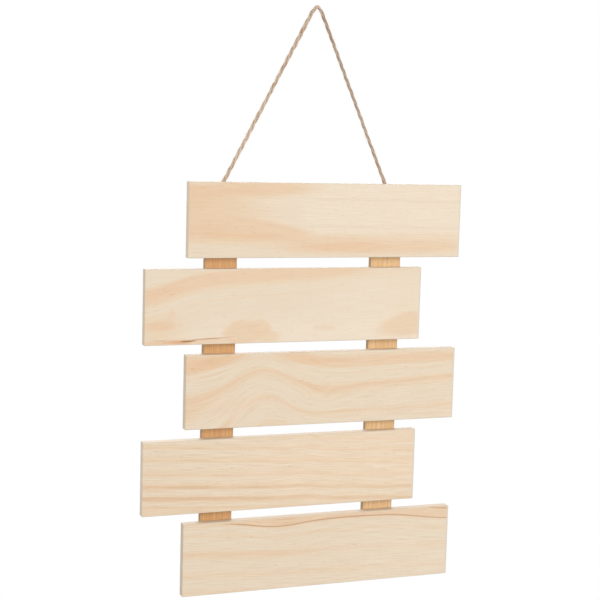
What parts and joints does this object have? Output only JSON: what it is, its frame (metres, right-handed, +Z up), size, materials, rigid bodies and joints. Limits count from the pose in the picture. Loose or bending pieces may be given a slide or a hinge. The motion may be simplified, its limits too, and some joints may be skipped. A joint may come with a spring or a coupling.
{
  "type": "hanging direction sign",
  "caption": "Blank wooden hanging sign of staggered horizontal boards nailed to two upright battens, hung from a triangle of twisted jute rope.",
  "frame": {"origin": "the point of the rope, at the underside of its top bend, that bears on the hook it hangs from", "axes": "+X to the right of someone who faces the boards, +Y away from them towards the wall, +Z up"},
  "size_m": [0.3434, 0.0226, 0.6062],
  "materials": {
    "pine_boards": "planed, unfinished",
    "pine_battens": "sawn and planed, unfinished",
    "steel_wire": "bright galvanised",
    "jute": "twisted natural fibre"
  },
  "bodies": {
    "root": {"top_board": "pine_boards", "second_board": "pine_boards", "middle_board": "pine_boards", "fourth_board": "pine_boards", "bottom_board": "pine_boards", "left_batten": "pine_battens", "right_batten": "pine_battens", "brad_nails": "steel_wire", "left_rope_staple": "steel_wire", "right_rope_staple": "steel_wire", "hanging_rope": "jute", "left_rope_knot": "jute", "right_rope_knot": "jute"}
  },
  "joints": []
}
